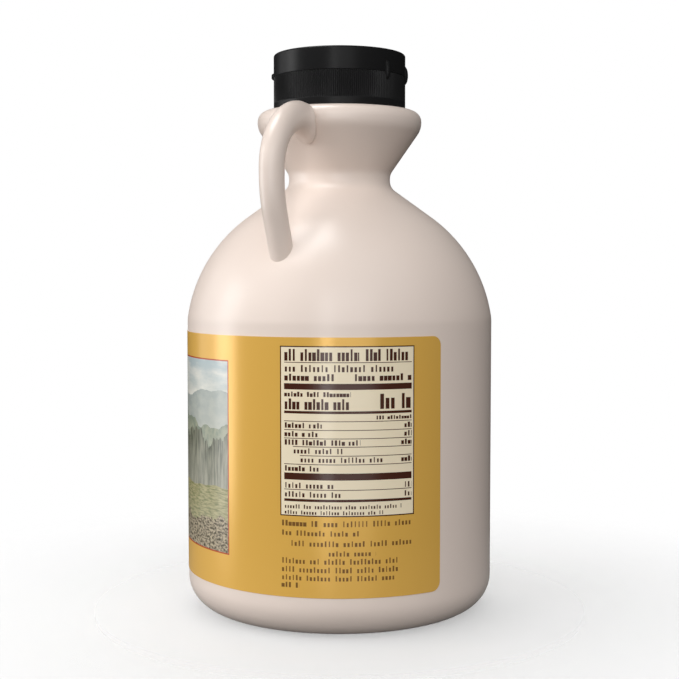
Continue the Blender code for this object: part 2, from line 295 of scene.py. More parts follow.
def turned_rings(outline, columns):
    """Rings of a turned surface: point (r cos a, r sin a, z) for each outline point (r, z) and
    each of the evenly spaced angles a."""
    angles = np.arange(columns) * FULL_TURN / columns
    radius, height = outline[:, 0, None], outline[:, 1, None]
    flat = np.zeros_like(angles)
    return np.stack([radius * np.cos(angles), radius * np.sin(angles), height + flat], axis=2)


def closed_mesh(name, rings):
    """A closed mesh from rings of points: quads between neighbouring rings, and a fan to the
    middle of the first ring and of the last. The rings turn left round their direction of travel
    when seen from ahead, so that the faces point outwards."""
    count, sides = rings.shape[:2]
    points = np.concatenate([rings.reshape(-1, 3), rings[0].mean(0)[None], rings[-1].mean(0)[None]])
    index = np.arange(count * sides).reshape(count, sides)
    beside = np.roll(index, -1, axis=1)
    quads = np.stack([index[:-1], index[1:], beside[1:], beside[:-1]], axis=-1).reshape(-1, 4)
    first = np.stack([index[0], beside[0], np.full(sides, count * sides)], axis=-1)
    last = np.stack([beside[-1], index[-1], np.full(sides, count * sides + 1)], axis=-1)
    mesh = bpy.data.meshes.new(name)
    mesh.from_pydata(points, [], quads.tolist() + first.tolist() + last.tolist())
    mesh.validate()
    return mesh


def linked(name, data):
    """A new object in the scene with this mesh, light or camera."""
    item = bpy.data.objects.new(name, data)
    bpy.context.scene.collection.objects.link(item)
    return item


def new_piece(name, rings):
    """A new closed piece from rings of points."""
    return linked(name, closed_mesh(name, rings))


def join_solids(piece, others, solver):
    """Joins closed pieces into one closed piece, and removes the others."""
    for other in others:
        union = piece.modifiers.new("join", "BOOLEAN")
        union.operation = "UNION"
        union.solver = solver
        union.object = other
    graph = bpy.context.evaluated_depsgraph_get()
    joined = bpy.data.meshes.new_from_object(piece.evaluated_get(graph))
    piece.modifiers.clear()
    piece.data = joined
    for other in others:
        bpy.data.objects.remove(other, do_unlink=True)


def dress(piece, materials, slot, *nodes):
    """Gives a finished piece its smooth shading and materials, and its place in the model."""
    # Clearing an empty list would still set the material number of every face to 0
    if piece.data.materials:
        piece.data.materials.clear()
    for material in materials:
        piece.data.materials.append(material)
    piece.data.shade_smooth()
    piece.data.set_sharp_from_angle(angle=SHARP_ANGLE)
    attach(piece, BODY)
    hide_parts(*nodes)


def sharpen_rim(mesh):
    """Marks the edges that belong to one face only, so that a film's rim is shaded by itself."""
    edges = np.empty(len(mesh.loops), np.int32)
    mesh.loops.foreach_get("edge_index", edges)
    sharp = np.bincount(edges, minlength=len(mesh.edges)) == 1
    mesh.edges.foreach_set("use_edge_sharp", sharp)


def dome_corner(body):
    """Radius and height where the line up from the wall meets the line down from the waist."""
    foot = math.tan(body.dome_foot_slope)
    shoulder = math.tan(body.shoulder_slope)
    rise = body.radius + foot * body.wall_top - body.waist_corner - shoulder * body.waist_height
    height = rise / (foot - shoulder)
    return body.radius - foot * (height - body.wall_top), height


def collar_slope(body):
    """How far the cone under the collar runs outwards for each length that it rises."""
    return (body.collar_radius - body.waist_corner) / (body.collar_edge - body.waist_height)


def body_outline(body):
    """The jug's half section from the middle of its top to the middle of its base."""
    dome_radius, dome_height = dome_corner(body)
    band = body.waist_radius - body.waist_corner
    return filled_in(rounded_outline([
        (BODY_HUB, COLLAR_TOP, 0.0),
        (body.collar_radius, COLLAR_TOP, body.rim_fillet),
        (body.collar_radius, body.collar_edge, body.collar_fillet),
        (body.waist_radius, body.waist_height + band / collar_slope(body), body.waist_crease),
        (body.waist_radius, body.waist_height - band / math.tan(body.shoulder_slope), body.waist_fillet),
        (dome_radius, dome_height, body.dome_radius),
        (body.radius, body.wall_top, body.wall_blend),
        (body.radius, 0.0, body.base_corner),
        (body.push_up_radius, 0.0, body.push_up_edge),
        (body.push_up_radius - body.push_up_depth, body.push_up_depth, body.push_up_edge),
        (BODY_HUB, body.push_up_depth, 0.0),
    ], BODY_ARC_PITCH), BODY_PITCH)


def handle_path(handle):
    """The tube's centre line as (x, z) points at even distances: a level run out of the collar, a
    quarter circle down, a short drop, a wide arc inwards and a straight foot."""
    slope = handle.lower_slope
    bend_x, bend_z = handle.reach - handle.bend, handle.axis_height - handle.bend
    arc_z = bend_z - handle.drop
    foot_x = handle.reach - handle.lower_bend * (1.0 - math.cos(slope))
    foot_z = arc_z - handle.lower_bend * math.sin(slope)
    lengths = np.array([bend_x - handle.root_start, handle.bend * QUARTER_TURN, handle.drop,
                        handle.lower_bend * slope, (foot_z - handle.foot_height) / math.cos(slope)])
    ends = np.cumsum(lengths)
    along = np.linspace(0.0, ends[-1], round(ends[-1] / HANDLE_PITCH) + 1)
    starts = ends - lengths
    run, bend, drop, arc, foot = np.clip(along - starts[:, None], 0.0, lengths[:, None])
    turned = bend / handle.bend
    leaned = arc / handle.lower_bend
    x = (handle.root_start + run + handle.bend * np.sin(turned)
         - handle.lower_bend * (1.0 - np.cos(leaned)) - foot * math.sin(slope))
    z = (handle.axis_height - handle.bend * (1.0 - np.cos(turned)) - drop
         - handle.lower_bend * np.sin(leaned) - foot * math.cos(slope))
    return along, np.stack([x, z], axis=1)


def head_room(handle, body, path, ahead):
    """Room for the tube's upper half at each point of the path. Its top may rise from a seat gap
    under the rim, where it leaves the collar, to its crown, where the upper bend starts."""
    inner = body.collar_radius - body.rim_fillet
    share = np.clip((path[:, 0] - inner) / (handle.reach - handle.bend - inner), 0.0, 1.0)
    ceiling = COLLAR_TOP - SEAT_GAP + (SEAT_GAP + handle.crown) * share
    return (ceiling - path[:, 1]) / np.maximum(ahead[:, 0], LEAST_LEVEL)


def handle_rings(handle, body):
    """An oval carried along the path. Half height and half width are the tube's radius plus a
    swell that fades exponentially from the collar. At the collar the lower half reaches further
    down to a lip. The lip keeps its drop for its thickness and then fades exponentially into the
    tube, its edge is rounded on the side of the collar, and it leans back by as much as the
    collar's cone does. The upper half is lower where it has less head room."""
    along, path = handle_path(handle)
    ahead = np.gradient(path, axis=0)
    ahead /= np.linalg.norm(ahead, axis=1)[:, None]
    out = along + handle.root_start - body.collar_radius
    near = np.exp(-np.maximum(out, 0.0) / handle.swell_length)
    lip = np.exp(-np.maximum(out - handle.lip_flat, 0.0) / handle.lip_length)
    inside = np.clip((handle.lip_edge - out) / handle.lip_edge, 0.0, 1.0)
    rounding = handle.lip_edge * (1.0 - np.sqrt(1.0 - inside ** 2))
    half_height = handle.tube_radius + handle.swell * near
    half_width = handle.tube_radius + handle.side_swell * near + handle.lip_side * lip - rounding
    turns = np.arange(handle.sides) * FULL_TURN / handle.sides
    below = np.clip(-np.cos(turns), 0.0, 1.0)
    drop = (handle.lip_drop * lip - rounding)[:, None] * below
    upper_height = np.minimum(half_height, head_room(handle, body, path, ahead))
    up = np.where(np.cos(turns) > 0.0, upper_height[:, None], half_height[:, None]) * np.cos(turns) - drop
    lean = collar_slope(body) * np.clip(1.0 - out / handle.lean_length, 0.0, 1.0)[:, None]
    x = path[:, 0, None] - up * ahead[:, 1, None] + lean * np.minimum(up + handle.lean_start, 0.0)
    y = half_width[:, None] * np.sin(turns)
    z = path[:, 1, None] + up * ahead[:, 0, None]
    return np.stack([x, y, z], axis=2)


def skirt_rings(closure):
    """A turned surface whose radius dips between ribs: depth times (1 - cos(ribs x angle)) / 2
    to a power below 1, faded in over a short height at the ribs' foot."""
    foot = RIM_TOP
    top = closure.parting - closure.parting_gap
    edge = closure.parting_edge
    outline = rounded_outline([
        (CLOSURE_HUB, foot, 0.0), (closure.radius, foot, edge),
        (closure.radius, top, edge), (CLOSURE_HUB, top, 0.0),
    ], CLOSURE_ARC_PITCH)
    rib_rows = closure.rib_foot + closure.rib_fade * np.array(RIB_FOOT_ROWS)
    rib_rows = np.append(rib_rows, (closure.rib_foot + top) / 2.0)
    middle = np.stack([np.full_like(rib_rows, closure.radius), rib_rows], axis=1)
    split = int(np.argmax(outline[:, 1] > (foot + top) / 2.0))
    outline = np.concatenate([outline[:split], middle, outline[split:]])
    columns = closure.ribs * FACES_PER_RIB
    # This outline runs upwards, so its rings turn the other way
    angles = -np.arange(columns) * FULL_TURN / columns
    dip = ((1.0 - np.cos(closure.ribs * angles)) / 2.0) ** GROOVE_POWER
    ribbed = np.clip((outline[:, 1] - closure.rib_foot) / closure.rib_fade, 0.0, 1.0)
    ribbed *= outline[:, 0] > closure.radius / 2.0
    radius = outline[:, 0, None] - closure.rib_depth * ribbed[:, None] * dip
    height = np.broadcast_to(outline[:, 1, None], radius.shape)
    return np.stack([radius * np.cos(angles), radius * np.sin(angles), height], axis=2)


def lid_rings(closure):
    """A turned surface: the lid's flat underside, straight side and rounded top edge."""
    outline = rounded_outline([
        (CLOSURE_HUB, LID_TOP, 0.0), (closure.radius, LID_TOP, closure.lid_edge),
        (closure.radius, closure.parting, closure.parting_edge), (CLOSURE_HUB, closure.parting, 0.0),
    ], CLOSURE_ARC_PITCH)
    return turned_rings(filled_in(outline, LID_PITCH), LID_COLUMNS)


def strap_rings(closure, middle):
    """An egg-shaped bead on the closure's side at the angle middle: an ellipsoid with the strap's
    half sizes, whose lower half is kept outside the skirt's ribs."""
    lift = np.linspace(STRAP_TIP, 1.0 - STRAP_TIP, STRAP_ROWS)[:, None] * math.pi
    turn = np.arange(STRAP_SIDES)[None, :] * FULL_TURN / STRAP_SIDES
    depth = closure.strap_proud + SEAT_GAP
    out = closure.radius - SEAT_GAP + depth * np.sin(lift) * np.cos(turn)
    across = closure.strap_half_width * np.sin(lift) * np.sin(turn)
    height = closure.strap_height + closure.strap_half_height * np.cos(lift) + 0.0 * turn
    clear = np.where(height < closure.parting, closure.radius + STRAP_CLEARANCE, 0.0)
    out = np.maximum(out, clear)
    cosine, sine = math.cos(middle), math.sin(middle)
    return np.stack([out * cosine - across * sine, out * sine + across * cosine, height], axis=2)


def tab_rings(closure):
    """The thumb tab: a turned disc with rounded edges, moved out so that it stands proud."""
    low, high = closure.tab_foot, closure.tab_foot + closure.tab_thickness
    outline = rounded_outline([
        (TAB_HUB, high, 0.0), (closure.tab_radius, high, closure.tab_edge),
        (closure.tab_radius, low, closure.tab_edge), (TAB_HUB, low, 0.0),
    ], TAB_ARC_PITCH)
    rings = turned_rings(outline, TAB_COLUMNS)
    rings[:, :, 1] -= closure.radius + closure.tab_proud - closure.tab_radius
    return rings


# The label's print. Lengths are in millimetres: along is the distance round the wall from the
# middle of the front, and height is above the base.
PANEL_LEFT = 84.5
PANEL_TOP = 90.0
PANEL_WIDTH = 41.8
PANEL_HEIGHT = 51.6
PANEL_BORDER = 0.35
HAIRLINE = 0.22
PICTURE_HALF_WIDTH = 65.2
PICTURE_LOW = 23.9
PICTURE_HIGH = 84.9
PICTURE_FRAME = 0.45

# Points round a corner of the film, height of its faces in shares of their width, least distance
# from an even grid line to an extra one in shares of a step, and decimals that tell two lines apart
CORNER_POINTS = 9
FACE_HEIGHT = 2.0
LEAST_GRID_GAP = 0.25
GRID_DECIMALS = 4

# Widths of the type's blocks, in shares of the usual width
BOLD = 1.12
LIGHT = 0.76

# Gaps between words, in blocks: mean distance, first one and random range
WORD_PITCH = 7.4
WORD_START = 4.6
WORD_SPREAD = 4.2

# Blocks of type: share of low ones, height of a low one in shares of the row, least half widths of
# low and tall ones in shares of the pitch, and the random range of those
LOW_SHARE = 0.66
LOW_HEIGHT = 0.72
LOW_HALF_WIDTH = 0.3
TALL_HALF_WIDTH = 0.18
HALF_WIDTH_RANGE = 0.14

# Steps in the random numbers from one row of type to the next, for gaps and for blocks
GAP_ROW_STEP = 37.0
BLOCK_ROW_STEP = 101.0

# Edges of the type from the panel's left edge, and the span of a bar or rule that reaches across
TYPE_LEFT = 1.3
TYPE_RIGHT = 40.9
ACROSS = [(TYPE_LEFT, TYPE_RIGHT, None)]

# Rows of the panel: distance of the top from the panel's top, height, pitch of the blocks, and
# spans of (start, end, width of the blocks) from the panel's left edge. A span with no width is a
# solid bar.
PANEL_ROWS = [
    (0.9, 3.6, 1.25, [(TYPE_LEFT, 24.2, BOLD), (26.0, TYPE_RIGHT, BOLD)]),
    (4.85, HAIRLINE, 0.0, ACROSS),
    (5.7, 2.1, 1.25, [(TYPE_LEFT, 35.5, LIGHT)]),
    (8.4, 2.1, 1.3, [(TYPE_LEFT, 16.6, BOLD), (22.6, 40.8, BOLD)]),
    (11.3, 1.85, 0.0, ACROSS),
    (13.8, 1.5, 1.0, [(TYPE_LEFT, 21.7, BOLD)]),
    (15.9, 3.3, 1.25, [(TYPE_LEFT, 21.4, BOLD)]),
    (14.4, 4.6, 1.7, [(30.4, 40.8, BOLD)]),
    (19.6, 0.8, 0.0, ACROSS),
    (21.0, 1.15, 0.9, [(29.3, TYPE_RIGHT, BOLD)]),
    (22.6, HAIRLINE, 0.0, ACROSS),
    (23.15, 1.65, 1.1, [(TYPE_LEFT, 9.6, BOLD), (10.2, 13.0, LIGHT), (38.3, TYPE_RIGHT, BOLD)]),
    (25.25, HAIRLINE, 0.0, ACROSS),
    (25.75, 1.65, 1.1, [(TYPE_LEFT, 8.0, BOLD), (8.6, 13.2, LIGHT), (38.3, TYPE_RIGHT, BOLD)]),
    (27.8, HAIRLINE, 0.0, ACROSS),
    (28.3, 1.65, 1.1, [(TYPE_LEFT, 20.2, BOLD), (20.8, 24.6, LIGHT), (37.3, TYPE_RIGHT, BOLD)]),
    (30.3, HAIRLINE, 0.0, [(4.1, TYPE_RIGHT, None)]),
    (30.85, 1.65, 1.1, [(4.1, 19.6, LIGHT)]),
    (33.0, HAIRLINE, 0.0, [(6.3, TYPE_RIGHT, None)]),
    (33.5, 1.65, 1.1, [(6.3, 31.5, LIGHT), (37.3, TYPE_RIGHT, BOLD)]),
    (35.65, HAIRLINE, 0.0, ACROSS),
    (36.2, 1.65, 1.1, [(TYPE_LEFT, 8.4, BOLD), (9.0, 12.0, LIGHT)]),
    (38.4, 2.1, 0.0, ACROSS),
    (41.35, 1.7, 1.1, [(TYPE_LEFT, 17.0, LIGHT), (38.3, TYPE_RIGHT, LIGHT)]),
    (43.35, HAIRLINE, 0.0, ACROSS),
    (44.05, 1.7, 1.1, [(TYPE_LEFT, 18.6, LIGHT), (38.3, TYPE_RIGHT, LIGHT)]),
    (46.3, 0.8, 0.0, ACROSS),
    (48.0, 1.25, 0.85, [(TYPE_LEFT, 37.5, LIGHT)]),
    (49.8, 1.2, 0.85, [(TYPE_LEFT, 32.0, LIGHT)]),
]

# Rows of type on gold, below the panel
LOWER_ROWS = [
    (52.9, 1.75, 1.15, [(0.3, 12.6, BOLD), (13.3, 40.6, LIGHT)]),
    (55.9, 1.6, 1.15, [(0.3, 24.1, LIGHT)]),
    (59.0, 1.7, 1.15, [(3.2, 41.0, LIGHT)]),
    (62.0, 1.6, 1.1, [(14.8, 29.4, LIGHT)]),
    (64.4, 1.7, 1.1, [(0.3, 36.4, LIGHT)]),
    (67.0, 1.7, 1.1, [(0.3, 37.2, LIGHT)]),
    (69.6, 1.6, 1.1, [(0.3, 35.2, LIGHT)]),
    (71.9, 1.6, 1.1, [(0.3, 6.0, BOLD)]),
]

# Rows of type on gold on the far side of the label, below its top
FAR_LEFT = -126.3
FAR_TOP = 88.5
FAR_ROWS = [
    (0.0, 2.6, 1.2, [(0.0, 25.0, BOLD)]),
    (4.6, 1.7, 1.15, [(0.0, 39.5, LIGHT)]),
    (7.3, 1.7, 1.15, [(0.0, 41.0, LIGHT)]),
    (10.0, 1.7, 1.15, [(0.0, 37.8, LIGHT)]),
    (12.7, 1.7, 1.15, [(0.0, 40.4, LIGHT)]),
    (15.4, 1.7, 1.15, [(0.0, 22.6, LIGHT)]),
    (20.0, 2.2, 1.2, [(0.0, 18.0, BOLD)]),
    (24.0, 1.7, 1.15, [(0.0, 40.6, LIGHT)]),
    (26.7, 1.7, 1.15, [(0.0, 38.2, LIGHT)]),
    (29.4, 1.7, 1.15, [(0.0, 40.9, LIGHT)]),
    (32.1, 1.7, 1.15, [(0.0, 14.2, LIGHT)]),
    (36.6, HAIRLINE, 0.0, [(0.0, 41.0, None)]),
    (39.0, 1.5, 1.05, [(0.0, 35.5, LIGHT)]),
    (41.4, 1.5, 1.05, [(0.0, 38.9, LIGHT)]),
    (43.8, 1.5, 1.05, [(0.0, 26.3, LIGHT)]),
]

# A block of plain stripes on cream, below those rows
STRIPES_LEFT = -120.0
STRIPES_WIDTH = 29.0
STRIPES_LOW = 20.5
STRIPES_HEIGHT = 15.0
STRIPES_SIDE_MARGIN = 2.0
STRIPES_END_MARGIN = 1.5
STRIPES = 26
STRIPE_NARROWEST = 0.25
STRIPE_WIDEST = 0.9
STRIPES_SEED = 5


def print_fields(finish):
    """Every field of the print, later ones over earlier: (left, right, low, high, ink, type ink,
    pitch and width of the blocks, picture). A field with a pitch holds one row of type."""
    gold, cream, brown = finish.gold, finish.cream, finish.brown
    fields = []

    def area(left, right, low, high, ink, picture=0.0):
        fields.append((left, right, low, high, ink, ink, 0.0, 0.0, picture))

    def framed(left, right, low, high, border, edge, ink, picture=0.0):
        area(left, right, low, high, edge)
        area(left + border, right - border, low + border, high - border, ink, picture)

    def rows(left, top, listed, paper, ink):
        for down, height, pitch, spans in listed:
            for start, end, weight in spans:
                place = (left + start, left + end, top - down - height, top - down)
                if weight is None:
                    area(*place, ink)
                else:
                    fields.append((*place, paper, ink, pitch, weight, 0.0))

    framed(-PICTURE_HALF_WIDTH, PICTURE_HALF_WIDTH, PICTURE_LOW, PICTURE_HIGH, PICTURE_FRAME,
           finish.russet, cream, 1.0)
    framed(PANEL_LEFT, PANEL_LEFT + PANEL_WIDTH, PANEL_TOP - PANEL_HEIGHT, PANEL_TOP, PANEL_BORDER,
           brown, cream)
    rows(PANEL_LEFT, PANEL_TOP, PANEL_ROWS, cream, brown)
    rows(PANEL_LEFT, PANEL_TOP, LOWER_ROWS, gold, finish.umber)
    rows(FAR_LEFT, FAR_TOP, FAR_ROWS, gold, finish.umber)
    stripes_high = STRIPES_LOW + STRIPES_HEIGHT
    area(STRIPES_LEFT - STRIPES_SIDE_MARGIN, STRIPES_LEFT + STRIPES_WIDTH + STRIPES_SIDE_MARGIN,
         STRIPES_LOW, stripes_high, cream)
    random = np.random.default_rng(STRIPES_SEED)
    widths = random.uniform(STRIPE_NARROWEST, STRIPE_WIDEST, STRIPES)
    starts = STRIPES_LEFT + np.arange(STRIPES) * STRIPES_WIDTH / STRIPES
    for start, width in zip(starts, widths):
        area(start, start + width, STRIPES_LOW + STRIPES_END_MARGIN,
             stripes_high - STRIPES_END_MARGIN, brown)
    return fields


def grid_lines(low, high, step, extra):
    """Even lines from low to high and the extra ones, without any that nearly coincide."""
    even = np.linspace(low, high, round((high - low) / step) + 1)
    inside = np.asarray(extra)[(np.asarray(extra) > low) & (np.asarray(extra) < high)]
    kept = np.abs(even[:, None] - inside[None, :]).min(axis=1) > step * LEAST_GRID_GAP
    kept[[0, -1]] = True
    return np.unique(np.round(np.concatenate([even[kept], inside]), GRID_DECIMALS))


def film_limits(label, body):
    """Half the film's length, and its lower and upper edge, in millimetres."""
    radius = body.radius / MILLIMETRE
    return label.half_angle * radius, LABEL_LOW / MILLIMETRE, LABEL_HIGH / MILLIMETRE


def film_grid(label, body, fields):
    """Distances along and heights of the film's grid lines. They are evenly spaced, and there is
    one on each edge of each field and on each point of the rounded corners."""
    reach, low, high = film_limits(label, body)
    corner, step = label.corner / MILLIMETRE, label.step / MILLIMETRE
    fillet = reach - corner * (1.0 - np.cos(np.linspace(0.0, QUARTER_TURN, CORNER_POINTS)))
    edges = [field[0] for field in fields] + [field[1] for field in fields]
    levels = [field[2] for field in fields] + [field[3] for field in fields]
    along = grid_lines(-reach, reach, step, edges + list(fillet) + list(-fillet))
    return along, grid_lines(low, high, step * FACE_HEIGHT, levels)


def film_points(label, body, along, height):
    """The grid's points on the cylinder just outside the wall. Near both ends the heights are
    drawn in along a quarter circle, which rounds the corners."""
    reach, low, high = film_limits(label, body)
    corner = label.corner / MILLIMETRE
    inset = np.clip(np.abs(along) - (reach - corner), 0.0, corner)
    drawn = corner - np.sqrt(corner ** 2 - inset ** 2)
    middle, half = (low + high) / 2.0, (high - low) / 2.0
    tall = middle + (height[None, :] - middle) * (1.0 - drawn[:, None] / half)
    turn = along[:, None] / (body.radius / MILLIMETRE) + FRONT
    wall = body.radius + label.stand_off
    return np.stack([wall * np.cos(turn) + 0.0 * tall, wall * np.sin(turn) + 0.0 * tall,
                     tall * MILLIMETRE], axis=2)


def printed_faces(fields, along, height, finish):
    """What is printed on each face, from the last field that its middle lies in: its ink and type
    ink with their share of metal, (left, bottom, height, pitch) of its row of type, and (width of
    the blocks, 1 on the picture, number of the field)."""
    across = (along[:-1] + along[1:])[:, None] / 2.0
    level = (height[:-1] + height[1:])[None, :] / 2.0
    shape = (len(along) - 1, len(height) - 1)
    ink = np.full((*shape, 4), finish.gold_metal)
    ink[..., :3] = finish.gold
    type_ink = ink.copy()
    cells = np.zeros((*shape, 4))
    marks = np.zeros((*shape, 3))
    for order, (left, right, bottom, top, paper, blocks, pitch, weight, picture) in enumerate(fields):
        inside = (across > left) & (across < right) & (level > bottom) & (level < top)
        ink[inside, :3] = paper
        ink[inside, 3] = finish.gold_metal if paper == finish.gold else 0.0
        type_ink[inside, :3] = blocks
        cells[inside] = (left, bottom, top - bottom, pitch)
        marks[inside] = (weight, picture, order)
    return ink, type_ink, cells, marks


def corner_places(along, height):
    """Distance along, height and 0 at the four corners of each face."""
    place = np.zeros((len(along) - 1, len(height) - 1, 4, 3))
    place[..., 0] = np.stack([along[:-1], along[1:], along[1:], along[:-1]], axis=1)[:, None, :]
    place[..., 1] = np.stack([height[:-1], height[:-1], height[1:], height[1:]], axis=1)[None, :, :]
    return place


def type_places(place, cells, marks):
    """What the mask of the type reads at the four corners of each face: pitches from the row's
    start, share of the row's height, width of the blocks and number of the row."""
    left, bottom, tall, pitch = np.moveaxis(cells[..., None], -2, 0)
    places = np.zeros((*place.shape[:3], 4))
    places[..., 0] = (place[..., 0] - left) / np.where(pitch > 0.0, pitch, 1.0)
    places[..., 1] = (place[..., 1] - bottom) / np.maximum(tall, HAIRLINE)
    places[..., 2] = marks[..., 0, None]
    places[..., 3] = marks[..., 2, None]
    return places


def on_corners(mesh, title, values):
    """Adds an attribute with three or four numbers at each corner of each face."""
    kind, part = ("FLOAT_COLOR", "color") if values.shape[-1] == 4 else ("FLOAT_VECTOR", "vector")
    layer = mesh.attributes.new(title, kind, "CORNER")
    layer.data.foreach_set(part, values.ravel())


def label_mesh(label, body, finish):
    """The film as a sheet on the grid of (distance along the wall, height), with its print in
    attributes at the corners of its faces."""
    fields = print_fields(finish)
    along, height = film_grid(label, body, fields)
    points = film_points(label, body, along, height)
    index = np.arange(len(along) * len(height)).reshape(len(along), len(height))
    quads = np.stack([index[:-1, :-1], index[1:, :-1], index[1:, 1:], index[:-1, 1:]], axis=-1)
    mesh = bpy.data.meshes.new("label")
    mesh.from_pydata(points.reshape(-1, 3), [], quads.reshape(-1, 4).tolist())

    ink, type_ink, cells, marks = printed_faces(fields, along, height, finish)
    place = corner_places(along, height)
    on_corners(mesh, "ink", np.repeat(ink[:, :, None, :], 4, axis=2))
    on_corners(mesh, "type_ink", np.repeat(type_ink[:, :, None, :], 4, axis=2))
    on_corners(mesh, "letter", type_places(place, cells, marks))
    on_corners(mesh, "place_mm", place)
    mesh.polygons.foreach_set("material_index", (marks[..., 1] > 0.5).astype(np.int32).ravel())
    return mesh


class Nodes:
    """A small writer for node trees: each call adds one node, sets its inputs and links them."""

    def __init__(self, tree):
        self.tree = tree

    def add(self, kind, inputs=None, **settings):
        node = self.tree.nodes.new(kind)
        for key, value in settings.items():
            setattr(node, key, value)
        for key, value in (inputs or {}).items():
            if isinstance(value, bpy.types.NodeSocket):
                self.tree.links.new(value, node.inputs[key])
            else:
                node.inputs[key].default_value = value
        return node

    def math(self, operation, first, second=0.0, third=0.0):
        return self.add("ShaderNodeMath", {0: first, 1: second, 2: third}, operation=operation).outputs[0]

    def mix(self, share, first, second):
        # Inputs 6 and 7 and output 2 are the node's colours
        node = self.add("ShaderNodeMix", {0: share, 6: first, 7: second}, data_type="RGBA")
        return node.outputs[2]

    def noise(self, vector, scale, detail, roughness):
        node = self.add("ShaderNodeTexNoise", {"Vector": vector, "Scale": scale, "Detail": detail,
                                               "Roughness": roughness})
        return node.outputs["Fac"]

    def remap(self, value, low, high, new_low, new_high):
        node = self.add("ShaderNodeMapRange", {0: value, 1: low, 2: high, 3: new_low, 4: new_high})
        return node.outputs[0]


def grey(tone):
    """An opaque grey as a colour socket takes it."""
    return (tone, tone, tone, 1.0)


def new_group(name, inputs, outputs):
    """An empty shader node group with (name, socket type, default) inputs and outputs."""
    group = bpy.data.node_groups.new(name, "ShaderNodeTree")
    for title, kind, default in inputs:
        socket = group.interface.new_socket(name=title, in_out="INPUT", socket_type=kind)
        if default is not None:
            socket.default_value = default
    for title, kind in outputs:
        group.interface.new_socket(name=title, in_out="OUTPUT", socket_type=kind)
    entry = group.nodes.new("NodeGroupInput")
    leave = group.nodes.new("NodeGroupOutput")
    return group, Nodes(group), entry, leave


# Noises of the moulded surface: scale, detail and roughness
MOTTLE_NOISE = (38.0, 2.0, 0.5)
ROUGHNESS_NOISE = (420.0, 3.0, 0.6)
WAVE_NOISE = (55.0, 1.0, 0.4)

# Finish of each surface: mottle, roughness, its range, wave, and bump distance in metres
JUG_FINISH = (0.02, 0.3, 0.03, 0.2, 0.0001)
CLOSURE_FINISH = (0.1, 0.32, 0.04, 0.1, 0.00008)
FILM_FINISH = (0.02, 0.24, 0.03, 0.15, 0.00006)
CLOSURE_SPECULAR = 0.13


def moulded_surface_group():
    """Tint, roughness and height of a moulded or printed plastic surface. Tint is a broad noise
    round 1, roughness moves with a finer noise, and height is a slow wave."""
    name = "moulded surface"
    if name in bpy.data.node_groups:
        return bpy.data.node_groups[name]
    group, nodes, entry, leave = new_group(name, [
        ("Place", "NodeSocketVector", None),
        ("Mottle", "NodeSocketFloat", 0.03),
        ("Roughness", "NodeSocketFloat", 0.4),
        ("Roughness Range", "NodeSocketFloat", 0.05),
        ("Wave", "NodeSocketFloat", 0.5),
    ], [("Tint", "NodeSocketFloat"), ("Roughness", "NodeSocketFloat"), ("Height", "NodeSocketFloat")])
    inputs = entry.outputs
    broad = nodes.math("SUBTRACT", nodes.noise(inputs["Place"], *MOTTLE_NOISE), 0.5)
    fine = nodes.math("SUBTRACT", nodes.noise(inputs["Place"], *ROUGHNESS_NOISE), 0.5)
    tint = nodes.math("MULTIPLY_ADD", broad, inputs["Mottle"], 1.0)
    rough = nodes.math("MULTIPLY_ADD", fine, inputs["Roughness Range"], inputs["Roughness"])
    height = nodes.math("MULTIPLY", nodes.noise(inputs["Place"], *WAVE_NOISE), inputs["Wave"])
    group.links.new(tint, leave.inputs["Tint"])
    group.links.new(rough, leave.inputs["Roughness"])
    group.links.new(height, leave.inputs["Height"])
    return group


def plain_material(name):
    """A material with a Principled shader, and a writer for its nodes."""
    material = bpy.data.materials.new(name)
    material.use_nodes = True
    nodes = Nodes(material.node_tree)
    return material, nodes, material.node_tree.nodes["Principled BSDF"]


def moulded_finish(nodes, shader, base, finish):
    """Feeds a shader from the moulded surface group, over a base colour or colour socket."""
    mottle, roughness, roughness_range, wave, bump = finish
    surface = nodes.add("ShaderNodeGroup", node_tree=moulded_surface_group())
    tree = nodes.tree
    tree.links.new(nodes.add("ShaderNodeTexCoord").outputs["Object"], surface.inputs["Place"])
    for title, value in (("Mottle", mottle), ("Roughness", roughness),
                         ("Roughness Range", roughness_range), ("Wave", wave)):
        surface.inputs[title].default_value = value
    tinted = nodes.add("ShaderNodeVectorMath", {0: base, "Scale": surface.outputs["Tint"]},
                       operation="SCALE")
    tree.links.new(tinted.outputs[0], shader.inputs["Base Color"])
    tree.links.new(surface.outputs["Roughness"], shader.inputs["Roughness"])
    relief = nodes.add("ShaderNodeBump", {"Height": surface.outputs["Height"], "Strength": 1.0,
                                          "Distance": bump})
    tree.links.new(relief.outputs[0], shader.inputs["Normal"])


def jug_plastic(finish):
    """Blow-moulded plastic: a beige satin with slow waves."""
    material, nodes, shader = plain_material("jug_plastic")
    moulded_finish(nodes, shader, tuple(finish.plastic), JUG_FINISH)
    return material


def closure_plastic(finish):
    """Injection-moulded black plastic with a fine satin."""
    material, nodes, shader = plain_material("closure_plastic")
    moulded_finish(nodes, shader, tuple(finish.closure), CLOSURE_FINISH)
    shader.inputs["Specular IOR Level"].default_value = CLOSURE_SPECULAR
    return material


def random_numbers(nodes, row, row_step, index):
    """Three random numbers for each index of each row of type."""
    seed = nodes.math("MULTIPLY_ADD", row, row_step, index)
    return nodes.add("ShaderNodeTexWhiteNoise", {"W": seed}, noise_dimensions="1D").outputs


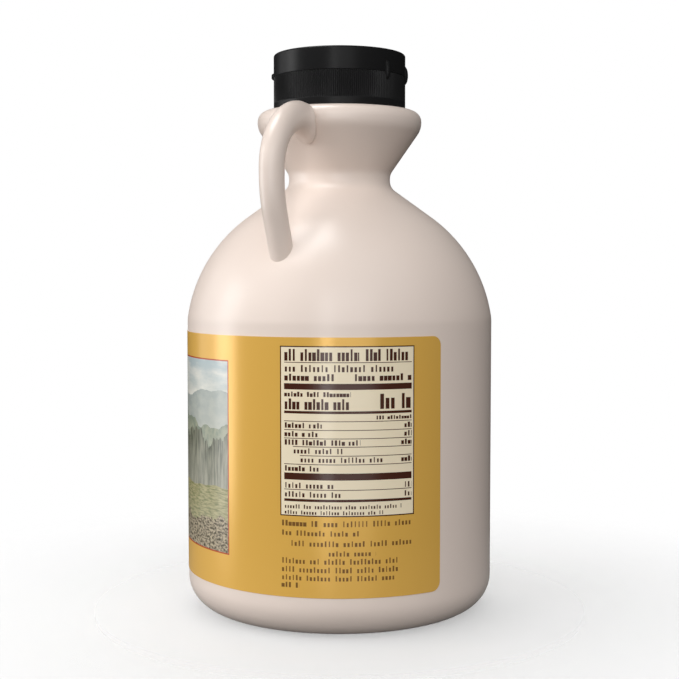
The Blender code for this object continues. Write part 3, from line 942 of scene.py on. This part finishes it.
def word_gap(nodes, cell, row, step):
    """1 in the cell of the type that separates two words. Boundaries lie every WORD_PITCH cells,
    each moved by a random number of its own, and step picks the one before or after the cell."""
    words = nodes.math("DIVIDE", nodes.math("SUBTRACT", cell, WORD_START), WORD_PITCH)
    index = nodes.math("ADD", nodes.math("FLOOR", words), step)
    random = random_numbers(nodes, row, GAP_ROW_STEP, index)["Value"]
    moved = nodes.math("MULTIPLY_ADD", nodes.math("SUBTRACT", random, 0.5), WORD_SPREAD, WORD_START)
    boundary = nodes.math("MULTIPLY_ADD", index, WORD_PITCH, moved)
    return nodes.math("LESS_THAN", nodes.math("ABSOLUTE", nodes.math("SUBTRACT", boundary, cell)), 0.5)


def letter_mask(nodes):
    """1 where a block of the type holds ink. The letter attribute gives the place: red counts
    pitches from the row's start, green goes from 0 at its foot to 1 at its top, blue is the
    blocks' width, and alpha is the row's number. Each cell is one plain block, either low and wide
    or tall and slim, and cells between words are empty."""
    letter = nodes.add("ShaderNodeAttribute", attribute_name="letter").outputs
    along, up, width = nodes.add("ShaderNodeSeparateColor", {0: letter["Color"]}).outputs
    row = nodes.math("ROUND", letter["Alpha"])
    cell = nodes.math("FLOOR", along)
    across = nodes.math("ABSOLUTE", nodes.math("SUBTRACT", nodes.math("FRACT", along), 0.5))
    random = random_numbers(nodes, row, BLOCK_ROW_STEP, cell)["Color"]
    choice = nodes.add("ShaderNodeSeparateColor", {0: random}).outputs
    tall = nodes.math("GREATER_THAN", choice[0], LOW_SHARE)
    top = nodes.math("MULTIPLY_ADD", tall, 1.0 - LOW_HEIGHT, LOW_HEIGHT)
    least = nodes.math("MULTIPLY_ADD", tall, TALL_HALF_WIDTH - LOW_HALF_WIDTH, LOW_HALF_WIDTH)
    half = nodes.math("MULTIPLY", width, nodes.math("MULTIPLY_ADD", choice[1], HALF_WIDTH_RANGE, least))
    block = nodes.math("MULTIPLY", nodes.math("LESS_THAN", across, half), nodes.math("LESS_THAN", up, top))
    gap = nodes.math("MAXIMUM", word_gap(nodes, cell, row, 0.0), word_gap(nodes, cell, row, 1.0))
    return nodes.math("MULTIPLY", block, nodes.math("SUBTRACT", 1.0, gap))


def label_print():
    """Printed film: flat inks from the label's fields, with rows of blocks over them. The gold
    ink is a little metallic."""
    material, nodes, shader = plain_material("label_print")
    ink = nodes.add("ShaderNodeAttribute", attribute_name="ink").outputs
    type_ink = nodes.add("ShaderNodeAttribute", attribute_name="type_ink").outputs["Color"]
    mask = letter_mask(nodes)
    printed = nodes.mix(mask, ink["Color"], type_ink)
    metal = nodes.math("MULTIPLY", ink["Alpha"], nodes.math("SUBTRACT", 1.0, mask))
    nodes.tree.links.new(metal, shader.inputs["Metallic"])
    moulded_finish(nodes, shader, printed, FILM_FINISH)
    return material


# Ridges of the picture, far ones first: mean height of the crest, swing and scale of its broad
# waves, height of its fine tips, dark and light tone, stretch of the streaks, and mist at the foot
RIDGES = [
    (73.0, 10.0, 0.028, 1.0, (0.34, 0.38, 0.36), (0.42, 0.45, 0.41), (0.20, 0.30), 0.45),
    (66.0, 12.0, 0.040, 2.0, (0.21, 0.25, 0.19), (0.33, 0.35, 0.25), (0.45, 0.30), 0.45),
    (60.0, 8.0, 0.050, 9.0, (0.050, 0.060, 0.035), (0.27, 0.27, 0.20), (1.20, 0.10), 0.35),
    (45.0, 7.0, 0.030, 1.0, (0.19, 0.20, 0.08), (0.46, 0.41, 0.22), (0.30, 1.60), 0.25),
    (34.0, 8.0, 0.055, 3.5, (0.060, 0.050, 0.030), (0.52, 0.44, 0.31), (0.90, 1.30), 0.0),
]
MIST = (0.62, 0.60, 0.50, 1.0)
SKY = (0.42, 0.50, 0.52, 1.0)
CLOUD = (0.78, 0.76, 0.68, 1.0)

# The sky: heights where mist turns to sky, and stretch, detail and range of the clouds' noise
SKY_LOW = 62.0
SKY_HIGH = 85.0
CLOUD_STRETCH = (0.045, 0.16)
CLOUD_DETAIL = 4.0
CLOUD_LOW = 0.40
CLOUD_HIGH = 0.66

# The ridges: detail and roughness of the crests' broad waves and fine tips, scale of the tips,
# detail and range of the streaks' noise, and depth of the mist
CREST_DETAIL = 2.0
WAVES_ROUGHNESS = 0.5
TIPS_ROUGHNESS = 0.6
TIPS_SCALE = 0.45
STREAKS_DETAIL = 3.0
STREAKS_LOW = 0.38
STREAKS_HIGH = 0.62
MIST_DEPTH = 16.0

# Roughness of the stretched noise, and places in it, so that the clouds and each ridge differ
STRETCHED_ROUGHNESS = 0.6
CLOUD_SHIFT = 3.0
RIDGE_SHIFT = 4.0
RIDGE_SHIFT_STEP = 11.0


def stretched_noise(nodes, place, stretch, shift, detail):
    """A noise over the picture, with its own scale across and up, moved by a shift."""
    moved = nodes.add("ShaderNodeVectorMath", {0: place, 1: (*stretch, 1.0), 2: (shift, shift, 0.0)},
                      operation="MULTIPLY_ADD").outputs[0]
    return nodes.noise(moved, 1.0, detail, STRETCHED_ROUGHNESS)


def lay_ridge(nodes, place, parts, colour, ridge, shift):
    """Lays one ridge over the colour. Below its crest, a sum of broad waves and fine tips, the
    ridge is a streaky mix of two tones that fades into mist towards its foot."""
    level, swing, scale, tips, dark, light, stretch, mist = ridge
    along = nodes.add("ShaderNodeCombineXYZ", {0: parts[0], 1: shift}).outputs[0]
    broad = nodes.math("SUBTRACT", nodes.noise(along, scale, CREST_DETAIL, WAVES_ROUGHNESS), 0.5)
    fine = nodes.math("SUBTRACT", nodes.noise(along, TIPS_SCALE, CREST_DETAIL, TIPS_ROUGHNESS), 0.5)
    crest = nodes.math("MULTIPLY_ADD", fine, tips, nodes.math("MULTIPLY_ADD", broad, swing * 2.0, level))
    depth = nodes.math("SUBTRACT", crest, parts[1])
    streaks = nodes.remap(stretched_noise(nodes, place, stretch, shift, STREAKS_DETAIL),
                          STREAKS_LOW, STREAKS_HIGH, 0.0, 1.0)
    tone = nodes.mix(streaks, (*dark, 1.0), (*light, 1.0))
    tone = nodes.mix(nodes.remap(depth, 0.0, MIST_DEPTH, 0.0, mist), tone, MIST)
    return nodes.mix(nodes.math("GREATER_THAN", depth, 0.0), colour, tone)


def label_picture():
    """The picture: a misty valley of hills, woods and meadows under a cloudy sky."""
    material, nodes, shader = plain_material("label_picture")
    place = nodes.add("ShaderNodeAttribute", attribute_name="place_mm").outputs["Vector"]
    parts = nodes.add("ShaderNodeSeparateXYZ", {0: place}).outputs
    clouds = nodes.remap(stretched_noise(nodes, place, CLOUD_STRETCH, CLOUD_SHIFT, CLOUD_DETAIL),
                         CLOUD_LOW, CLOUD_HIGH, 0.0, 1.0)
    sky = nodes.mix(nodes.remap(parts[1], SKY_LOW, SKY_HIGH, 0.0, 1.0), MIST, SKY)
    colour = nodes.mix(clouds, sky, CLOUD)
    for index, ridge in enumerate(RIDGES):
        colour = lay_ridge(nodes, place, parts, colour, ridge, RIDGE_SHIFT_STEP * index + RIDGE_SHIFT)
    moulded_finish(nodes, shader, colour, FILM_FINISH)
    return material


class SYRUP_OT_jug(Operator):
    """Build the jug: the turned body and its ring handle, joined into one piece"""
    bl_idname = "syrup_jug.make_jug"
    bl_label = "Make the jug"

    def execute(self, context):
        settings = context.scene.syrup_jug
        body, handle = settings.body, settings.handle
        jug = new_piece("jug_shell", turned_rings(body_outline(body), body.columns))
        ring = new_piece("handle", handle_rings(handle, body))
        join_solids(jug, [ring], "EXACT")
        dress(jug, [jug_plastic(settings.finish)], "jug_plastic", "jug")
        return {"FINISHED"}


class SYRUP_OT_closure(Operator):
    """Build the closure: the ribbed skirt, and the lid with its straps and thumb tab"""
    bl_idname = "syrup_jug.make_closure"
    bl_label = "Make the closure"

    def execute(self, context):
        settings = context.scene.syrup_jug
        closure = settings.closure
        black = closure_plastic(settings.finish)
        skirt = new_piece("closure_ribbed_skirt", skirt_rings(closure))
        dress(skirt, [black], "closure_plastic", "closure_skirt")
        lid = new_piece("closure_smooth_lid", lid_rings(closure))
        additions = [new_piece("tab", tab_rings(closure))]
        for side in (-1.0, 1.0):
            additions.append(new_piece("strap", strap_rings(closure, BACK + side * closure.strap_angle)))
        join_solids(lid, additions, "MANIFOLD")
        dress(lid, [black], "closure_plastic", "closure_lid")
        return {"FINISHED"}


class SYRUP_OT_label(Operator):
    """Build the printed label that wraps round the jug"""
    bl_idname = "syrup_jug.make_label"
    bl_label = "Make the label"

    def execute(self, context):
        settings = context.scene.syrup_jug
        label = linked("label_film_printed", label_mesh(settings.label, settings.body, settings.finish))
        film = label.modifiers.new("film", "SOLIDIFY")
        film.thickness = settings.label.thickness
        film.offset = 1.0
        dress(label, [label_print(), label_picture()], "label_film", "label")
        sharpen_rim(label.data)
        return {"FINISHED"}


# The studio's lights: azimuth from the camera's side round to the right, elevation, distance from
# the jug, width and height in metres, power in watts, and what the light gives: shading, shine or
# both
LIGHTS = {
    "left_strip": (-90.0, 8.0, 0.75, 0.25, 0.6, 2.04, "both"),
    "left_wall": (-112.0, 8.0, 0.75, 0.35, 0.6, 0.62, "both"),
    "front_strip": (-9.0, 12.0, 1.1, 0.15, 1.0, 2.53, "both"),
    "front_wall": (12.0, 12.0, 1.1, 0.5, 1.0, 2.15, "both"),
    "low_key": (-25.0, 28.0, 1.0, 0.5, 0.5, 0.3, "shading"),
    "left_key": (-60.0, 30.0, 1.0, 0.8, 0.8, 5.37, "shading"),
    "right_key": (30.0, 45.0, 1.0, 0.9, 0.9, 4.32, "shading"),
    "right_wall": (75.0, 20.0, 1.0, 0.6, 0.8, 0.48, "shading"),
    "back_left": (-130.0, 48.0, 0.9, 0.6, 0.6, 1.14, "shading"),
    "back": (180.0, 45.0, 0.9, 0.8, 0.5, 4.0, "shading"),
    "back_right": (130.0, 30.0, 1.0, 0.6, 0.6, 0.6, "shading"),
    "top_glint": (-74.0, 72.0, 0.8, 0.4, 0.4, 3.8, "shine"),
}
LIGHT_TARGET = 0.09

# The floor: thickness, distances where it starts to fade and is gone, its share of cover before
# it fades, its tones to the camera and to other rays, and its roughness
FLOOR_THICKNESS = 0.002
FADE_START = 0.05
FADE_END = 0.19
FLOOR_COVER = 0.35
FLOOR_SEEN = 0.9
FLOOR_UNSEEN = 0.4
FLOOR_ROUGHNESS = 0.9

# Strength of the white surroundings to the camera and to other rays
WORLD_SEEN = 1.0
WORLD_UNSEEN = 0.01

# The camera: width of its picture in millimetres, and the nearest thing that it sees
SENSOR_WIDTH = 36.0
NEAREST_SEEN = 0.01


def area_light(name, azimuth, elevation, distance, width, height, power, gives, studio):
    """A rectangular light that faces a point on the jug's axis."""
    light = bpy.data.lights.new(name, "AREA")
    light.shape = "RECTANGLE"
    light.size, light.size_y = width, height
    light.energy = power
    light.use_shadow = gives != "shine"
    item = linked(name, light)
    item.visible_diffuse = gives != "shine"
    item.visible_glossy = gives != "shading"
    turn = studio.camera_azimuth + math.radians(azimuth)
    rise = math.radians(elevation)
    item.location = (distance * math.cos(rise) * math.sin(turn),
                     -distance * math.cos(rise) * math.cos(turn),
                     LIGHT_TARGET + distance * math.sin(rise))
    item.rotation_euler = (QUARTER_TURN - rise, 0.0, turn)


class SYRUP_OT_studio(Operator):
    """Build the floor, the lights, the surroundings and the camera"""
    bl_idname = "syrup_jug.make_studio"
    bl_label = "Make the studio"

    def execute(self, context):
        studio = context.scene.syrup_jug.studio
        self.make_floor(studio)
        self.make_surroundings(context.scene)
        for name, light in LIGHTS.items():
            area_light(name, *light, studio)
        self.make_camera(context.scene, studio)
        return {"FINISHED"}

    def make_floor(self, studio):
        """A flat disc whose rim fades into the white surroundings. It is pale to the camera and
        darker to other rays, so that it throws little light back at the jug."""
        outline = np.array([[FLOOR_HUB, 0.0], [studio.floor_radius, 0.0],
                            [studio.floor_radius, -FLOOR_THICKNESS], [FLOOR_HUB, -FLOOR_THICKNESS]])
        floor = new_piece("floor", turned_rings(outline, FLOOR_COLUMNS))
        material, nodes, shader = plain_material("floor_paper")
        place = nodes.add("ShaderNodeTexCoord").outputs["Object"]
        far = nodes.add("ShaderNodeVectorMath", {0: place}, operation="LENGTH").outputs["Value"]
        cover = nodes.remap(far, FADE_START, FADE_END, FLOOR_COVER, 0.0)
        nodes.tree.links.new(cover, shader.inputs["Alpha"])
        seen = nodes.add("ShaderNodeLightPath").outputs["Is Camera Ray"]
        tone = nodes.mix(seen, grey(FLOOR_UNSEEN), grey(FLOOR_SEEN))
        nodes.tree.links.new(tone, shader.inputs["Base Color"])
        shader.inputs["Roughness"].default_value = FLOOR_ROUGHNESS
        floor.data.materials.append(material)

    def make_surroundings(self, scene):
        """White to the camera and a dim grey to everything else."""
        world = bpy.data.worlds.new("studio")
        world.use_nodes = True
        world.node_tree.nodes.clear()
        nodes = Nodes(world.node_tree)
        white = grey(1.0)
        seen = nodes.add("ShaderNodeBackground", {"Color": white, "Strength": WORLD_SEEN}).outputs[0]
        unseen = nodes.add("ShaderNodeBackground", {"Color": white, "Strength": WORLD_UNSEEN}).outputs[0]
        path = nodes.add("ShaderNodeLightPath").outputs["Is Camera Ray"]
        mixed = nodes.add("ShaderNodeMixShader", {0: path, 1: unseen, 2: seen}).outputs[0]
        nodes.add("ShaderNodeOutputWorld", {"Surface": mixed})
        scene.world = world

    def make_camera(self, scene, studio):
        """Puts the camera where the picture was taken from."""
        camera = bpy.data.cameras.new("camera")
        camera.sensor_width = SENSOR_WIDTH
        camera.lens = studio.focal_length
        camera.clip_start = NEAREST_SEEN
        item = linked("camera", camera)
        turn = studio.camera_azimuth
        item.location = (studio.camera_distance * math.sin(turn), -studio.camera_distance * math.cos(turn),
                         studio.camera_height)
        item.rotation_euler = (QUARTER_TURN - studio.camera_pitch, 0.0, turn)
        scene.camera = item


class SYRUP_PT_panel(Panel):
    """Buttons for each step"""
    bl_idname = "SYRUP_PT_panel"
    bl_label = "Syrup jug"
    bl_space_type = "VIEW_3D"
    bl_region_type = "UI"
    bl_category = "Syrup jug"

    def draw(self, context):
        for operator in OPERATORS:
            self.layout.operator(operator.bl_idname)
        for group in SYRUP_PG_settings.__annotations__:
            settings = getattr(context.scene.syrup_jug, group)
            box = self.layout.box()
            box.label(text=group.capitalize())
            for name in settings.__annotations__:
                box.prop(settings, name)


OPERATORS = (SYRUP_OT_studio, SYRUP_OT_jug, SYRUP_OT_closure, SYRUP_OT_label)
CLASSES = (SYRUP_PG_body, SYRUP_PG_handle, SYRUP_PG_closure, SYRUP_PG_label, SYRUP_PG_finish,
           SYRUP_PG_studio, SYRUP_PG_settings, *OPERATORS, SYRUP_PT_panel)


def register():
    for item in CLASSES:
        bpy.utils.register_class(item)
    bpy.types.Scene.syrup_jug = PointerProperty(type=SYRUP_PG_settings)


def unregister():
    del bpy.types.Scene.syrup_jug
    for item in reversed(CLASSES):
        bpy.utils.unregister_class(item)


def main():
    register()
    bpy.context.scene.view_settings.view_transform = "Standard"
    bpy.ops.syrup_jug.make_studio()
    bpy.ops.syrup_jug.make_jug()
    bpy.ops.syrup_jug.make_closure()
    bpy.ops.syrup_jug.make_label()


if __name__ == "__main__":
    main()
